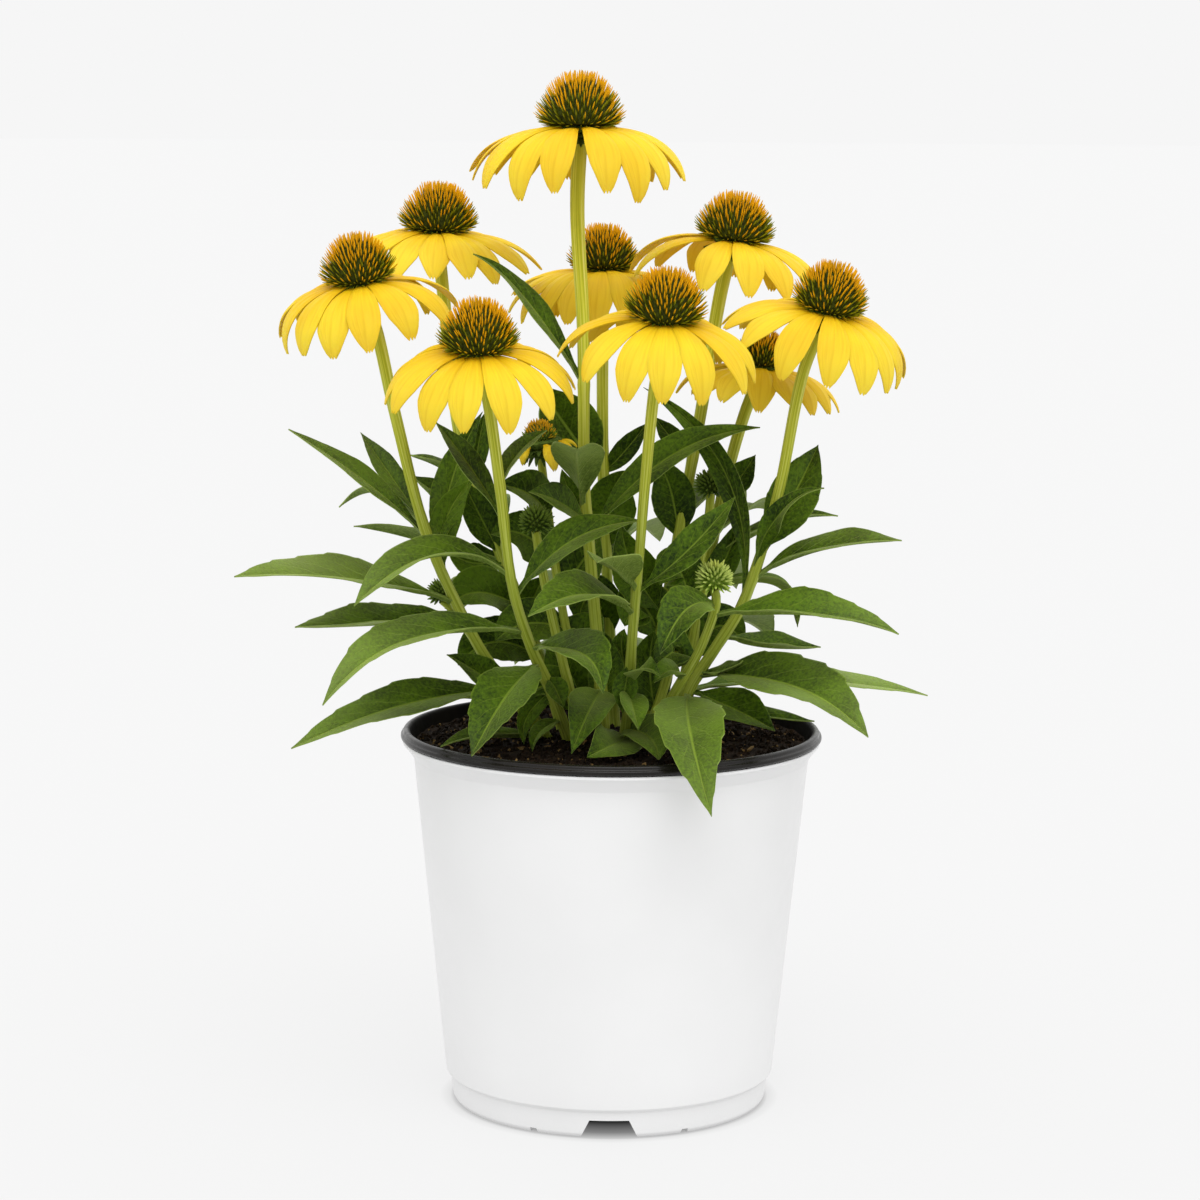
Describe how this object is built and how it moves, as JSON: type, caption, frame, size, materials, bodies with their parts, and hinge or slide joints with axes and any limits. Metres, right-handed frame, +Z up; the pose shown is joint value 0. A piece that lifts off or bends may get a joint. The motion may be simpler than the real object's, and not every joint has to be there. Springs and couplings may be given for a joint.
{
  "type": "potted coneflower",
  "caption": "Yellow coneflower in full bloom, with bristly brown cones, drooping rays and lance-shaped leaves, growing in a white tapered nursery pot with a black rim.",
  "frame": {"origin": "centre of the whole plant's box, at the pot's foot, which is within 2 mm of the pot's own axis", "axes": "+Z up along the pot, -Y towards the front of the picture, +X to its right"},
  "size_m": [0.3237, 0.2558, 0.4764],
  "materials": {
    "white_plastic": "satin moulded plastic",
    "black_plastic": "satin black plastic",
    "potting_mix": "damp peat with bits of bark",
    "green_leaf": "matte living leaf, slightly hairy",
    "yellow_ray": "matte petal",
    "brown_cone": "stiff bristles, orange at the tips",
    "young_cone": "stiff green bristles"
  },
  "bodies": {
    "root": {"pot_wall": "white_plastic", "pot_liner": "black_plastic", "potting_mix": "potting_mix", "top_bloom_leafy_stem": "green_leaf", "top_bloom_rays": "yellow_ray", "top_bloom_cone": "brown_cone", "upper_left_bloom_leafy_stem": "green_leaf", "upper_left_bloom_rays": "yellow_ray", "upper_left_bloom_cone": "brown_cone", "left_bloom_leafy_stem": "green_leaf", "left_bloom_rays": "yellow_ray", "left_bloom_cone": "brown_cone", "front_left_bloom_leafy_stem": "green_leaf", "front_left_bloom_rays": "yellow_ray", "front_left_bloom_cone": "brown_cone", "rear_centre_bloom_leafy_stem": "green_leaf", "rear_centre_bloom_rays": "yellow_ray", "rear_centre_bloom_cone": "brown_cone", "front_right_bloom_leafy_stem": "green_leaf", "front_right_bloom_rays": "yellow_ray", "front_right_bloom_cone": "brown_cone", "upper_right_bloom_leafy_stem": "green_leaf", "upper_right_bloom_rays": "yellow_ray", "upper_right_bloom_cone": "brown_cone", "right_bloom_leafy_stem": "green_leaf", "right_bloom_rays": "yellow_ray", "right_bloom_cone": "brown_cone", "rear_right_bloom_leafy_stem": "green_leaf", "rear_right_bloom_rays": "yellow_ray", "rear_right_bloom_cone": "brown_cone", "young_bloom_leafy_stem": "green_leaf", "young_bloom_rays": "yellow_ray", "young_bloom_cone": "young_cone", "right_front_bud_shoot": "green_leaf", "centre_bud_shoot": "green_leaf", "rear_right_bud_shoot": "green_leaf", "left_bud_shoot": "green_leaf"}
  },
  "joints": []
}
